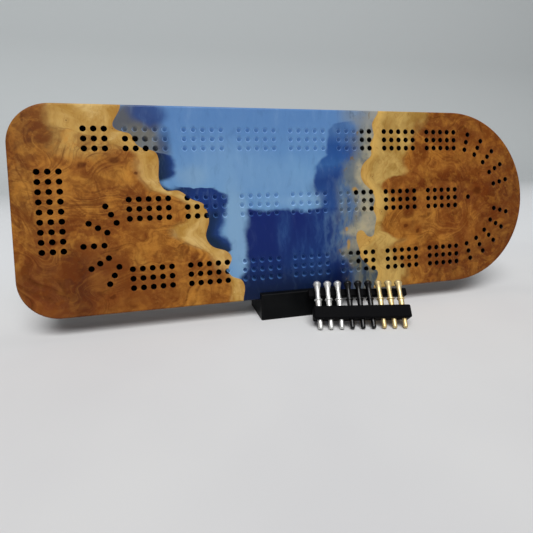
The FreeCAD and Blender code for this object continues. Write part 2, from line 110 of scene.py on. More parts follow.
def rack_placement():
    """The point that the middle peg stands on and the turn of the rack's axes."""
    pull = next(joint for joint in frame["joints"] if joint["child"] == "black_peg_2")
    axis = Vector(pull["axis"]).normalized()
    along = Vector((axis.y, -axis.x, 0)).normalized()
    back = axis.cross(along)
    points = [vertex.co for vertex in NODES["black_peg_2"].data.vertices]
    foot = min(point.dot(axis) for point in points)
    origin = along * middle(points, along) + back * middle(points, back) + axis * foot
    return origin, Matrix((along, back, axis)).transposed().to_euler()


class Graph:
    """Short names for the shader nodes of one material."""

    def __init__(self, name):
        self.material = bpy.data.materials.new(name)
        self.material.use_nodes = True
        self.tree = self.material.node_tree
        self.tree.nodes.clear()
        output = self.tree.nodes.new("ShaderNodeOutputMaterial")
        self.shader = self.tree.nodes.new("ShaderNodeBsdfPrincipled")
        self.tree.links.new(self.shader.outputs["BSDF"], output.inputs["Surface"])

    def put(self, socket, value):
        """Link a socket into another, or set a value on it. None leaves it alone."""
        if isinstance(value, bpy.types.NodeSocket):
            self.tree.links.new(value, socket)
        elif value is not None:
            socket.default_value = value

    def node(self, kind, inputs=(), **settings):
        item = self.tree.nodes.new(kind)
        for key, value in settings.items():
            setattr(item, key, value)
        for key, value in dict(inputs).items():
            self.put(item.inputs[key], value)
        return item

    def math(self, operation, a, b=None):
        return self.node("ShaderNodeMath", {0: a, 1: b}, operation=operation).outputs[0]

    def plus(self, a, b):
        return self.math("ADD", a, b)

    def minus(self, a, b):
        return self.math("SUBTRACT", a, b)

    def times(self, a, b):
        return self.math("MULTIPLY", a, b)

    def larger(self, a, b):
        return self.math("MAXIMUM", a, b)

    def inverse(self, mask):
        return self.minus(1.0, mask)

    def hypotenuse(self, a, b):
        return self.math("SQRT", self.plus(self.math("POWER", a, 2.0), self.math("POWER", b, 2.0)))

    def vector(self, operation, a, b=None):
        item = self.node("ShaderNodeVectorMath", {0: a, 1: b}, operation=operation)
        return item.outputs["Vector"]

    def length(self, vector):
        return self.node("ShaderNodeVectorMath", {0: vector}, operation="LENGTH").outputs["Value"]

    def dot(self, a, b):
        return self.node("ShaderNodeVectorMath", {0: a, 1: b}, operation="DOT_PRODUCT").outputs["Value"]

    def split(self, vector):
        return self.node("ShaderNodeSeparateXYZ", {0: vector}).outputs

    def join(self, x, y, z):
        return self.node("ShaderNodeCombineXYZ", {0: x, 1: y, 2: z}).outputs[0]

    def place(self, vector, location=(0, 0, 0), rotation=(0, 0, 0), scale=(1, 1, 1)):
        """The same point, measured from a location along turned and scaled axes."""
        inputs = {"Vector": vector, "Location": location, "Rotation": rotation, "Scale": scale}
        return self.node("ShaderNodeMapping", inputs, vector_type="TEXTURE").outputs["Vector"]

    def space(self, origin, turn):
        """Millimetres in a piece's own axes; it moves with the piece."""
        spot = self.node("ShaderNodeTexCoord").outputs["Object"]
        return self.place(spot, origin, turn, (MM, MM, MM))

    def noise(self, vector, size, detail, roughness=0.5, twist=0.0):
        """Cloud noise whose lumps are about this many millimetres."""
        inputs = {"Vector": vector, "Scale": 1 / size, "Detail": detail,
                  "Roughness": roughness, "Distortion": twist}
        return self.node("ShaderNodeTexNoise", inputs)

    def grey(self, vector, size, detail, roughness=0.5, twist=0.0):
        return self.noise(vector, size, detail, roughness, twist).outputs["Fac"]

    def cells(self, vector, size):
        """Cell noise whose cells are about this many millimetres."""
        inputs = {"Vector": vector, "Scale": 1 / size, "Randomness": 1.0}
        return self.node("ShaderNodeTexVoronoi", inputs).outputs

    def warp(self, vector, size, reach, shift=(0, 0, 0)):
        """The point pushed about by up to reach millimetres."""
        moved = self.vector("ADD", vector, shift)
        push = self.noise(moved, size, 2.0).outputs["Color"]
        push = self.vector("SUBTRACT", push, (0.5, 0.5, 0.5))
        push = self.vector("MULTIPLY", push, (2 * reach, 2 * reach, 2 * reach))
        return self.vector("ADD", vector, push)

    def step(self, value, low, high):
        """0 below low, 1 above high, smooth between. With low above high it falls instead."""
        falling = low > high
        inputs = {"Value": value, "From Min": min(low, high), "From Max": max(low, high),
                  "To Min": 1.0 if falling else 0.0, "To Max": 0.0 if falling else 1.0}
        return self.node("ShaderNodeMapRange", inputs, interpolation_type="SMOOTHSTEP").outputs[0]

    def span(self, value, low, high):
        """A 0 to 1 value stretched from low to high."""
        inputs = {"Value": value, "To Min": low, "To Max": high}
        return self.node("ShaderNodeMapRange", inputs).outputs[0]

    def curve(self, value, chart):
        """A chart read at a value. The node's own curve runs from 0 to 1 both ways."""
        item = self.node("ShaderNodeFloatCurve")
        bends = item.mapping.curves[0].points
        while len(bends) < len(chart):
            bends.new(0.5, 0.5)
        for bend, (x, y) in zip(bends, chart):
            bend.location = ((x + CHART) / (2 * CHART), (y + CHART) / (2 * CHART))
            bend.handle_type = "VECTOR"
        item.mapping.update()
        inputs = {"Value": value, "From Min": -CHART, "From Max": CHART}
        self.put(item.inputs["Value"], self.node("ShaderNodeMapRange", inputs).outputs[0])
        return self.span(item.outputs[0], -CHART, CHART)

    def patch(self, vector, x, y, across, up, turn, soft):
        """1 inside an oval patch of the board, 0 outside it."""
        near = self.place(vector, (x, y, 0), (0, 0, math.radians(turn)), (across, up, FLAT))
        return self.step(self.length(near), 1 + soft, 1 - soft)

    def any_patch(self, vector, places):
        """1 inside any of some oval patches."""
        inside = self.patch(vector, *places[0])
        for place in places[1:]:
            inside = self.larger(inside, self.patch(vector, *place))
        return inside

    def mix(self, factor, a, b):
        return self.node("ShaderNodeMix", {0: factor, 6: a, 7: b}, data_type="RGBA").outputs[2]

    def paint(self, colour, mask, strength, coat):
        """A coat of colour over another, this strong where the mask is 1."""
        return self.mix(self.times(mask, strength), colour, coat)

    def patches(self, colour, vector, layers):
        """Oval patches painted one over another."""
        for x, y, across, up, turn, soft, strength, coat in layers:
            colour = self.paint(colour, self.patch(vector, x, y, across, up, turn, soft), strength, coat)
        return colour

    def ramp(self, factor, stops, smooth=False):
        item = self.node("ShaderNodeValToRGB", {0: factor})
        item.color_ramp.interpolation = "EASE" if smooth else "LINEAR"
        elements = item.color_ramp.elements
        while len(elements) < len(stops):
            elements.new(0.5)
        for element, (position, colour) in zip(elements, stops):
            element.position = position
            element.color = colour
        return item.outputs[0]

    def bump(self, height, depth, strength, normal=None):
        """The normal of a relief; depth is in millimetres for a height from 0 to 1."""
        inputs = {"Height": height, "Distance": depth * MM, "Strength": strength, "Normal": normal}
        return self.node("ShaderNodeBump", inputs).outputs[0]

    def finish(self, colour, roughness, normal, **constants):
        """Join the colour, roughness and bump, and set the constants on the shader itself."""
        self.put(self.shader.inputs["Base Color"], colour)
        self.put(self.shader.inputs["Roughness"], roughness)
        self.put(self.shader.inputs["Normal"], normal)
        for key, value in constants.items():
            self.shader.inputs[key.replace("_", " ")].default_value = value
        return self.material


class BoardGraph(Graph):
    """A material of the board: x is across it, y up it and z out of its face, in millimetres."""

    def __init__(self, name, through):
        super().__init__(name)
        spot = self.space(*board_placement())
        self.x, self.y, self.z = self.split(spot)[:3]
        self.face = self.vector("MULTIPLY", spot, (1, 1, through))

    def hole_mask(self):
        """1 on the walls and mouths of the peg holes, 0 on the faces and round the rim."""
        flat_y = self.math("ABSOLUTE", self.y)
        past_right = self.larger(self.minus(self.x, HALF_LENGTH - HALF_WIDTH), 0.0)
        past_left = self.larger(self.minus(CORNER - HALF_LENGTH, self.x), 0.0)
        past_up = self.larger(self.minus(flat_y, HALF_WIDTH - CORNER), 0.0)
        in_round = self.math("LESS_THAN", self.hypotenuse(past_right, flat_y), HALF_WIDTH - RIM)
        in_corner = self.math("LESS_THAN", self.hypotenuse(past_left, past_up), CORNER - RIM)
        below = self.math("LESS_THAN", self.z, SURFACE)
        above = self.math("GREATER_THAN", self.z, HOLE_REACH)
        return self.times(self.times(in_round, in_corner), self.times(below, above))


class BurlGraph(BoardGraph):
    """The board's wood, with the warped points that its figure shares."""

    def __init__(self):
        super().__init__("burl_wood", 0.35)
        self.loose = self.warp(self.warp(self.face, 38, 9), 9, 2.5, shift=(31, 7, 3))
        self.swirl = self.warp(self.warp(self.face, 60, 26, shift=(11, 5, 0)), 22, 7, shift=(3, 17, 0))
        self.mottle = self.grey(self.warp(self.face, 4, 1.6), 2.2, 4, 0.62, 0.6)
        # pale marks are fainter in the lower left corner and towards the round end
        corner = self.times(self.step(self.y, -14, -40), self.step(self.x, -100, -140))
        self.calm = self.span(corner, 1.0, 0.3)
        self.rich = self.span(self.step(self.x, 80, 160), 0.36, 0.16)


def broad_wood(g):
    """Gold, orange and brown that drift over the slabs."""
    broad = g.grey(g.loose, 34, 3, 0.55, 0.6)
    colour = g.ramp(broad, [(0.30, tone(100, 56, 28)), (0.44, tone(132, 80, 36)),
                            (0.55, tone(154, 100, 43)), (0.68, tone(171, 121, 55))], smooth=True)
    return g.patches(colour, g.loose, [
        # x, y, half width, half height, turn, softness, strength, colour
        (-150, 53, 25, 17, 8, 0.45, 0.90, tone(181, 145, 80)),
        (-140, 26, 17, 12, 10, 0.5, 0.55, tone(164, 116, 50)),
        (-182, 50, 15, 15, 30, 0.5, 0.90, tone(88, 50, 27)),
        (-188, 14, 8, 24, 0, 0.6, 0.60, tone(140, 98, 48)),
        (-148, 27, 13, 6, -10, 0.6, 0.70, tone(118, 68, 32)),
        (-150, 4, 26, 12, 0, 0.5, 0.55, tone(138, 86, 38)),
        (-160, -22, 28, 16, 0, 0.6, 0.75, tone(112, 64, 31)),
        (-170, -50, 40, 24, 0, 0.6, 0.92, tone(94, 50, 30)),
        (-159, -46, 7, 24, 6, 0.7, 0.75, tone(70, 36, 25)),
        (-182, -60, 9, 8, 0, 0.7, 0.50, tone(118, 62, 32)),
        (-128, -12, 16, 11, 0, 0.6, 0.60, tone(110, 58, 26)),
        (-106, -22, 20, 14, 10, 0.6, 0.50, tone(158, 104, 44)),
        (-112, -54, 30, 14, 0, 0.6, 0.75, tone(112, 64, 30)),
        (-78, -58, 20, 10, 0, 0.5, 0.50, tone(150, 100, 44)),
        (120, 58, 46, 16, 0, 0.5, 0.85, tone(104, 58, 31)),
        (66, 14, 12, 8, 10, 0.4, 0.80, tone(124, 74, 36)),
        (78, -20, 19, 13, 0, 0.4, 0.50, tone(152, 102, 44)),
        (112, -6, 26, 44, 0, 0.7, 0.50, tone(122, 68, 33)),
        (152, 8, 50, 30, 0, 0.8, 0.75, tone(101, 51, 29)),
        (160, 3, 34, 7, -4, 0.6, 0.70, tone(84, 45, 29)),
        (152, -50, 56, 20, 10, 0.6, 0.85, tone(82, 41, 25)),
        (184, 0, 16, 64, 0, 0.6, 0.70, tone(84, 44, 27)),
    ])


def growth_lines(g, colour):
    """Lines along a folded field, level on the left and in arcs on the right slab."""
    arcs_middle = (122, -8, 0)
    climb = 0.0058                  # of the field, for each millimetre across the growth lines
    crowding = 34.0                 # lines for each unit of the field
    fading = 0.014                  # how soon a line changes along its length
    contours = 9.0                  # thin dark contours for each unit of the field

    swirl_x, swirl_y = g.split(g.swirl)[:2]
    arcs = g.length(g.place(g.swirl, arcs_middle, scale=(1.25, 1.0, FLAT)))
    course = g.mix(g.step(g.x, -20, 20), swirl_y, arcs)
    fold = g.plus(g.times(course, climb), g.grey(g.swirl, 52, 1.5, 0.45, 0.2))
    lines = g.grey(g.join(g.times(fold, crowding), g.times(swirl_x, fading), 0.0), 1.0, 3, 0.6)
    strength = g.span(g.step(g.grey(g.face, 40, 2), 0.40, 0.58), 0.35, 1.0)
    dark_line = g.times(g.step(lines, 0.50, 0.62), strength)
    colour = g.paint(colour, dark_line, 0.50, tone(80, 42, 20))
    pale_line = g.times(g.times(g.step(lines, 0.47, 0.36), strength), g.calm)
    colour = g.paint(colour, pale_line, g.rich, tone(184, 128, 56))
    contour = g.step(g.math("PINGPONG", g.times(fold, contours), 0.5), 0.08, 0.0)
    contour = g.times(contour, g.step(g.grey(g.face, 24, 2), 0.46, 0.58))
    return g.paint(colour, contour, 0.55, tone(68, 34, 17))


def combed_grain(g, colour):
    """Level lines right of the games counter, and steep ones at the square end."""
    lean = 0.4                      # of the steep lines, across for each millimetre up
    elsewhere = 40.0                # reads the steep lines from another part of the noise
    drift = g.span(g.grey(g.warp(g.face, 20, 6), 24, 2), -8, 8)
    level = g.grey(g.join(g.plus(g.y, drift), 0.0, 0.0), 2.6, 2, 0.6)
    level = g.times(g.step(level, 0.44, 0.58), g.patch(g.loose, *LEVEL_GRAIN))
    slant = g.plus(g.plus(g.x, g.times(g.y, lean)), drift)
    steep = g.grey(g.join(slant, elsewhere, 0.0), 3.2, 2, 0.6)
    steep = g.times(g.step(steep, 0.44, 0.58), g.patch(g.loose, *STEEP_GRAIN))
    return g.paint(colour, g.larger(level, steep), 0.75, tone(92, 50, 25))


def dark_arc(g, colour):
    """A broken dark arc that sweeps over the middle of the right slab."""
    near = g.place(g.warp(g.face, 16, 6), *DARK_ARC)
    arc = g.step(g.math("ABSOLUTE", g.minus(g.length(near), 1.0)), 0.24, 0.03)
    arc = g.times(arc, g.span(g.grey(g.face, 7, 3, 0.6), 0.35, 1.25))
    arc = g.times(arc, g.step(g.y, -40, -8))
    return g.mix(arc, colour, tone(86, 42, 22))


def smudges(g, colour):
    """Feathered smudges, dark and pale."""
    smudge = g.grey(g.warp(g.warp(g.face, 30, 14, shift=(50, 0, 0)), 9, 4), 14, 3, 0.55)
    colour = g.paint(colour, g.step(smudge, 0.50, 0.64), 0.50, tone(104, 54, 23))
    pale_smudge = g.times(g.step(smudge, 0.48, 0.34), g.times(g.rich, g.calm))
    return g.mix(pale_smudge, colour, tone(182, 126, 54))


def curls(g, colour):
    """Tight dark curls that come and go."""
    curl = g.grey(g.warp(g.swirl, 7, 3, shift=(9, 2, 4)), 12, 1.5)
    curl = g.step(g.math("PINGPONG", g.times(curl, 8.0), 0.5), 0.26, 0.0)
    curly = g.step(g.grey(g.vector("ADD", g.face, (0, 60, 0)), 30, 2), 0.50, 0.60)
    return g.paint(colour, g.times(curl, curly), 0.40, tone(86, 46, 22))


def mottling(g, colour):
    """Blotches as wide as a hole's spacing, and finer mottling over them."""
    blotch = g.grey(g.warp(g.loose, 8, 4, shift=(70, 3, 0)), 7.5, 3, 0.6)
    zone = g.larger(g.step(g.x, -40, -70), g.span(g.step(g.x, 70, 95), 0.35, 0.9))
    dark_blotch = g.times(g.step(blotch, 0.50, 0.36), zone)
    colour = g.paint(colour, dark_blotch, 0.32, tone(96, 46, 20))
    pale_blotch = g.times(g.times(g.step(blotch, 0.50, 0.66), zone), g.calm)
    colour = g.paint(colour, pale_blotch, 0.26, tone(184, 122, 50))
    colour = g.paint(colour, g.step(g.mottle, 0.50, 0.70), 0.22, tone(96, 54, 27))
    pale_mottle = g.times(g.step(g.mottle, 0.46, 0.30), g.calm)
    return g.paint(colour, pale_mottle, 0.16, tone(190, 138, 70))


def sapwood(g, colour):
    """Pale wood along the poured edge, with layers, a broken rim line and bark at the resin."""
    to_left = g.minus(g.curve(g.y, LEFT_SHORE), g.x)
    to_right = g.minus(g.x, g.curve(g.y, RIGHT_SHORE))
    inland = g.larger(to_left, to_right)
    on_right = g.math("GREATER_THAN", to_right, to_left)
    width = g.mix(on_right, g.curve(g.y, LEFT_SAP), g.curve(g.y, RIGHT_SAP))
    wander = g.span(g.grey(g.warp(g.face, 12, 3), 26, 2.5, 0.5, 0.4), -12, 12)
    edge = g.plus(g.minus(inland, width), wander)
    sap = g.times(g.step(edge, 5.0, -5.0), g.inverse(g.any_patch(g.loose, SAP_ISLANDS)))

    cloudy = g.grey(g.warp(g.loose, 14, 5), 17, 3, 0.55, 0.6)
    left_tone = g.ramp(cloudy, [(0.34, tone(160, 120, 54)), (0.5, tone(182, 146, 81)),
                                (0.64, tone(200, 168, 106))])
    right_tone = g.ramp(cloudy, [(0.34, tone(150, 118, 60)), (0.5, tone(174, 144, 82)),
                                 (0.64, tone(192, 160, 92))])
    right_tone = g.paint(right_tone, g.step(inland, 9, 2), 0.65, tone(204, 165, 90))
    sap_tone = g.mix(on_right, left_tone, right_tone)
    shoreward = g.plus(g.times(inland, 0.42), g.times(cloudy, 9.0))
    layers = g.grey(g.join(shoreward, g.times(g.y, 0.03), 0.0), 1.0, 3, 0.6)
    sap_tone = g.paint(sap_tone, g.step(layers, 0.46, 0.66), 0.30, tone(136, 92, 42))
    colour = g.paint(colour, sap, 0.90, sap_tone)

    rim_line = g.times(g.step(edge, -1.4, 0.4), g.step(edge, 2.4, 0.4))
    rim_line = g.times(rim_line, g.step(g.grey(g.face, 9, 2), 0.42, 0.58))
    colour = g.paint(colour, rim_line, 0.42, tone(104, 60, 28))
    bark = g.step(g.plus(inland, g.span(g.grey(g.face, 4, 3), -1.5, 1.5)), 1.7, 0.2)
    return g.paint(colour, bark, 0.35, tone(150, 104, 50))


def knots(g, colour):
    """Dark knots, each in a soft brown halo."""
    stretch = 1.5
    turn = (0, 0, 0.4)
    for x, y, size in KNOTS:
        far = g.length(g.place(g.warp(g.face, 7, 2.4), (x, y, 0), turn, (size * stretch, size, FLAT)))
        colour = g.paint(colour, g.step(far, 3.4, 0.6), 0.45, tone(112, 58, 26))
        colour = g.paint(colour, g.step(far, 1.1, 0.4), 0.75, tone(74, 36, 18))
    return colour


def eyes(g, colour):
    """Small dark pins in the burl, each with a soft ring; the pins' mask comes with them."""
    spacing = 5.5
    cells = g.cells(g.warp(g.face, 8, 2), spacing)
    gap = g.times(cells["Distance"], spacing)
    crowded = g.span(g.grey(g.face, 26, 2), 1.25, 0.25)
    chosen = g.math("GREATER_THAN", g.split(cells["Color"])[0], crowded)
    ring = g.times(g.times(g.step(gap, 0.7, 1.3), g.step(gap, 2.6, 1.5)), chosen)
    colour = g.paint(colour, g.times(ring, g.calm), 0.2, tone(120, 70, 30))
    pin = g.times(g.step(gap, 0.85, 0.35), chosen)
    return g.paint(colour, pin, 0.5, tone(72, 38, 20)), pin


def burl_wood():
    """Sanded burl under a satin coat."""
    g = BurlGraph()
    colour = broad_wood(g)
    for layer in (growth_lines, combed_grain, dark_arc, smudges, curls, mottling, sapwood, knots):
        colour = layer(g, colour)
    colour, pin = eyes(g, colour)
    fibre = g.grey(g.place(g.warp(g.face, 25, 8), scale=(1.0, 9.0, 4.0)), 0.9, 3, 0.6)
    colour = g.paint(colour, g.step(fibre, 0.55, 0.8), 0.30, tone(96, 54, 26))

    # the rounded rim and sides are painted a little darker, and the holes are painted near black as shade in
    # the recesses
    colour = g.paint(colour, g.step(g.z, -0.6, -2.2), 0.35, tone(92, 54, 30))
    colour = g.mix(g.hole_mask(), colour, tone(13, 9, 7))

    # the coat makes the whole a little darker and warmer
    colour = g.vector("SUBTRACT", colour, (0.003, 0.005, 0.006))
    colour = g.vector("MAXIMUM", colour, (0.0, 0.0, 0.0))

    coat_wear = g.grey(g.face, 26, 4, 0.6)
    roughness = g.plus(g.span(coat_wear, 0.34, 0.52), g.times(g.mottle, 0.08))
    normal = g.bump(g.minus(g.times(fibre, 0.5), pin), 0.06, 0.5)
    normal = g.bump(g.grey(g.face, 22, 3), 0.25, 0.3, normal)
    return g.finish(colour, roughness, normal, Specular_IOR_Level=0.1, Coat_Weight=0.02,
                    Coat_Roughness=0.28)


class ResinGraph(BoardGraph):
    """The board's resin, with the warped points and the noises that its clouds share."""

    def __init__(self):
        super().__init__("river_resin", 0.25)
        self.loose = self.warp(self.warp(self.face, 30, 5), 7, 1.6, shift=(21, 3, 9))
        self.wisp = self.warp(self.place(self.face, scale=(1, 2.4, 1)), 16, 7, shift=(5, 40, 0))
        self.cloud = self.grey(self.wisp, 20, 3, 0.5, 0.6)
        self.streaks = self.grey(self.place(self.warp(self.face, 14, 4), scale=(1, 4.0, 1)), 5, 3, 0.6)
        self.off_shore = self.minus(self.curve(self.y, RIGHT_SHORE), self.x)
        wavy = self.warp(self.warp(self.face, 22, 6, shift=(2, 8, 4)), 5, 1.6)
        self.wavy_x, self.wavy_y = self.split(wavy)[:2]


def open_water(g):
    """Pearl blue, paler in the strip beside the deep part, with smoke at the top left."""
    colour = g.ramp(g.step(g.y, 66, -30), [(0.0, tone(86, 124, 172)), (0.4, tone(100, 141, 182)),
                                           (1.0, tone(102, 141, 180))])
    colour = g.paint(colour, g.step(g.cloud, 0.35, 0.7), 0.45, tone(80, 120, 170))
    return g.patches(colour, g.loose, [
        # x, y, half width, half height, turn, softness, strength, colour
        (-60, 28, 26, 14, 0, 0.7, 0.45, tone(116, 150, 184)),
        (-20, 16, 26, 14, 0, 0.7, 0.45, tone(112, 148, 184)),
        (-53, -18, 9, 32, 4, 0.5, 0.60, tone(128, 160, 186)),
        (-84, 22, 10, 6, 0, 0.6, 0.50, tone(124, 154, 180)),
        (-120, 56, 16, 13, 0, 0.35, 0.92, tone(84, 82, 80)),
        (-110, 63, 11, 8, 0, 0.4, 0.88, tone(40, 66, 120)),
        (-112, 45, 15, 8, -24, 0.4, 0.88, tone(106, 104, 96)),
        (-100, 45, 4.5, 8, 0, 0.6, 0.60, tone(40, 60, 98)),
    ])


def navy_water(g, colour):
    """Navy along the left shore, darkest at the wood, with a light gap in it."""
    loose_x, loose_y = g.split(g.loose)[:2]
    wide = g.curve(loose_y, NAVY_WIDTH)
    from_wood = g.minus(loose_x, g.curve(g.y, LEFT_SHORE))
    from_wood = g.plus(from_wood, g.span(g.grey(g.face, 9, 3), -2.5, 2.5))
    navy = g.step(g.minus(from_wood, wide), 2.6, -2.2)
    navy = g.times(navy, g.inverse(g.patch(g.loose, *NAVY_GAP)))
    navy_tone = g.ramp(g.math("DIVIDE", from_wood, g.larger(wide, 8.0)), [
        (0.15, tone(12, 24, 46)), (0.55, tone(16, 34, 76)), (0.95, tone(28, 54, 112))])
    navy_tone = g.mix(g.patch(g.loose, *NAVY_BRIGHT), navy_tone, tone(14, 36, 98))
    return g.paint(colour, navy, 0.95, navy_tone)


def shore_haze(g, colour):
    """Blue-grey haze between the open water and the right shore's smoke, and its mask."""
    ragged = g.span(g.cloud, -8, 8)
    reach = g.minus(g.off_shore, g.times(g.step(g.y, 26, 8), 20.0))
    haze = g.times(g.step(g.plus(reach, ragged), 34, 14), g.step(g.y, 62, 44))
    haze_tone = g.mix(g.step(g.streaks, 0.35, 0.65), tone(60, 84, 122), tone(90, 108, 128))
    low_tone = g.mix(g.step(g.streaks, 0.38, 0.62), tone(38, 62, 110), tone(76, 97, 124))
    haze_tone = g.mix(g.step(g.y, -4, -12), haze_tone, low_tone)
    drab = g.times(g.step(g.x, 14, 34), g.step(g.grey(g.wisp, 7, 3, 0.6), 0.44, 0.58))
    drab = g.times(drab, g.step(g.y, 26, 10))
    haze_tone = g.paint(haze_tone, drab, 0.8, tone(106, 107, 98))
    colour = g.paint(colour, haze, 0.88, haze_tone)
    top_haze = g.times(g.step(g.y, 55, 62), g.step(g.plus(g.x, ragged), 20, 40))
    return g.paint(colour, top_haze, 0.75, tone(114, 128, 144)), haze


def blue_column(g, colour):
    """The blue column, which has a firm left edge, and its mask."""
    column = g.step(g.minus(g.wavy_x, g.curve(g.y, COLUMN_EDGE)), -1.5, 2.5)
    past_end = g.minus(g.plus(g.wavy_x, g.span(g.cloud, -6, 6)), g.curve(g.y, COLUMN_END))
    column = g.times(column, g.times(g.step(past_end, 6, -6), g.step(g.wavy_y, -14, -6)))
    column_tone = g.ramp(g.step(g.wavy_y, 60, -6), [
        (0.0, tone(66, 100, 148)), (0.18, tone(34, 70, 130)), (0.34, tone(38, 76, 136)),
        (0.47, tone(46, 86, 142)), (0.60, tone(36, 68, 126)), (0.74, tone(28, 56, 114)),
        (1.0, tone(36, 68, 124))])
    return g.paint(colour, column, 0.95, column_tone), column


def deep_part(g, colour):
    """The deep part, which fades to the right through blue streaks, and its mask."""
    from_left = g.step(g.minus(g.wavy_x, g.curve(g.y, DEEP_EDGE)), -3.2, 2.2)
    near_right = g.step(g.plus(g.x, g.span(g.streaks, -10, 10)), 32, 8)
    low_down = g.step(g.plus(g.y, g.span(g.cloud, -5, 5)), -40, -48)
    to_right = g.larger(near_right, g.times(low_down, g.step(g.x, 44, 24)))
    deep = g.times(g.times(from_left, g.step(g.wavy_y, -3.0, -6.5)), to_right)
    deep_tone = g.ramp(g.step(g.y, -4, -66), [(0.0, tone(16, 28, 92)), (0.45, tone(12, 26, 88)),
                                              (0.75, tone(10, 30, 84)), (1.0, tone(1, 8, 44))])
    glow = g.larger(g.any_patch(g.loose, DEEP_GLOWS), g.times(g.step(g.x, -8, 14), g.step(g.y, -46, -34)))
    glow = g.times(glow, g.span(g.step(g.streaks, 0.40, 0.62), 0.45, 1.0))
    deep_tone = g.paint(deep_tone, glow, 0.60, tone(42, 76, 128))
    return g.paint(colour, deep, 0.97, deep_tone), deep


def bright_streaks(g, colour):
    """A brighter band over the deep part's top edge, and fine drifting streaks everywhere."""
    band = g.times(g.patch(g.loose, *BRIGHT_BAND), g.step(g.x, 17, 10))
    colour = g.paint(colour, band, 0.3, tone(134, 168, 198))
    shallow = g.span(g.step(g.y, -10, 4), 0.35, 1.0)
    colour = g.paint(colour, g.times(g.step(g.streaks, 0.5, 0.8), shallow), 0.14, tone(140, 172, 202))
    return g.paint(colour, g.step(g.streaks, 0.46, 0.30), 0.12, tone(20, 40, 84))


def shore_smoke(g, colour):
    """Smoke along the right shore, with brown wisps and flecks of wood in it, and its mask."""
    drift = g.plus(g.off_shore, g.span(g.grey(g.loose, 12, 4, 0.6), -10, 10))
    smoke = g.step(drift, 21, 8)
    smoke_tone = g.ramp(g.grey(g.loose, 12, 3.5, 0.58), [
        (0.34, tone(104, 104, 98)), (0.48, tone(146, 140, 118)),
        (0.60, tone(164, 154, 126)), (0.72, tone(176, 160, 122))])
    bottom_tone = g.ramp(g.grey(g.wisp, 6, 3.5, 0.6), [
        (0.38, tone(44, 56, 72)), (0.5, tone(82, 88, 86)), (0.62, tone(118, 108, 78))])
    smoke_tone = g.mix(g.step(g.y, -28, -46), smoke_tone, bottom_tone)
    dim = g.times(g.step(g.y, 2, 12), g.step(g.off_shore, 3, 9))
    smoke_tone = g.paint(smoke_tone, dim, 0.75, tone(86, 98, 108))
    smoke_tone = g.paint(smoke_tone, g.step(g.y, 48, 62), 0.7, tone(132, 136, 138))
    colour = g.paint(colour, smoke, 0.90, smoke_tone)

    stretched = g.place(g.warp(g.face, 10, 4, shift=(0, 9, 0)), scale=(1, 2.2, 1))
    wisps = g.grey(stretched, 4.5, 3, 0.62)
    zone = g.times(g.step(drift, 30, 16), g.step(drift, 2, 8))
    colour = g.paint(colour, g.times(g.step(wisps, 0.44, 0.30), zone), 0.55, tone(72, 88, 108))
    colour = g.paint(colour, g.times(g.step(wisps, 0.62, 0.72), zone), 0.75, tone(112, 92, 54))
    return g.paint(colour, g.any_patch(g.loose, GOLD_FLECKS), 0.8, tone(164, 126, 60)), smoke


def lit_side(g):
    """0 to 1 round a hole's wall: 1 on its lower left, which faces up and to the right."""
    turn = board_placement()[1].to_matrix()
    facing = turn @ Vector((1, 1, 0)).normalized()
    normal = g.node("ShaderNodeTexCoord").outputs["Normal"]
    return g.step(g.dot(normal, facing), -0.6, 1.0)


def painted_glow_in_holes(g, colour, blue_holes, clear):
    """Painted glow in the holes, standing in for light scattered in pearly resin: brighter on the lit side,
    paler in pale resin, and the holes' colour painted lighter.
    """
    lit = lit_side(g)
    pale = g.step(g.split(colour)[2], 0.08, 0.42)
    shine = g.mix(pale, tone(84, 130, 190), tone(156, 184, 210))
    pearl = g.paint(colour, clear, g.span(pale, 0.62, 0.42), shine)
    # painted glow: emission on the hole walls, strongest on the lit side
    g.put(g.shader.inputs["Emission Color"], g.mix(lit, colour, pearl))
    strength = g.times(g.span(lit, 0.40, 0.85), g.span(pale, 0.90, 1.0))
    g.put(g.shader.inputs["Emission Strength"], g.times(blue_holes, strength))
    # painted light: the holes' colour lightened towards pale blue
    return g.paint(colour, blue_holes, g.span(pale, 0.0, 0.5), tone(96, 118, 140))


def river_resin():
    """Poured pearl resin in clouded blues, polished."""
    g = ResinGraph()
    colour = navy_water(g, open_water(g))
    colour, haze = shore_haze(g, colour)
    colour, column = blue_column(g, colour)
    colour, deep = deep_part(g, colour)
    colour = bright_streaks(g, colour)
    colour, smoke = shore_smoke(g, colour)

    # holes: painted black as shade where wood shows through the smoke, faint with a painted glow in the blue
    holes = g.hole_mask()
    hole_shade = g.larger(g.step(g.off_shore, 8.6, 7), g.any_patch(g.face, SHADED_HOLE_PATCHES))
    # painted shade: this mask paints the holes near black
    colour = g.paint(colour, holes, hole_shade, tone(14, 12, 12))
    veil = g.times(haze, g.inverse(g.larger(deep, column)))
    clear = g.inverse(g.larger(veil, smoke))
    colour = painted_glow_in_holes(g, colour, g.times(holes, g.inverse(hole_shade)), clear)

    micro = g.grey(g.face, 1.4, 3, 0.6)
    roughness = g.plus(g.span(g.grey(g.face, 24, 4, 0.6), 0.20, 0.36), g.times(micro, 0.05))
    normal = g.bump(g.grey(g.face, 18, 2), 0.25, 0.3)
    normal = g.bump(micro, 0.01, 0.25, normal)
    return g.finish(colour, roughness, normal, Specular_IOR_Level=0.12, Coat_Weight=0.03,
                    Coat_Roughness=0.2, Subsurface_Weight=0.25, Subsurface_Radius=(1.0, 1.2, 1.5),
                    Subsurface_Scale=1.2 * MM)


def edge_wear(g, spot, reach):
    """1 on convex edges, broken up by noise: bevelled normals against true ones."""
    soft = g.node("ShaderNodeBevel", {"Radius": reach * MM}, samples=6).outputs[0]
    sharp = g.node("ShaderNodeNewGeometry").outputs["Normal"]
    worn = g.step(g.dot(soft, sharp), 0.995, 0.90)
    return g.times(worn, g.step(g.grey(spot, 3, 4, 0.65), 0.36, 0.62))


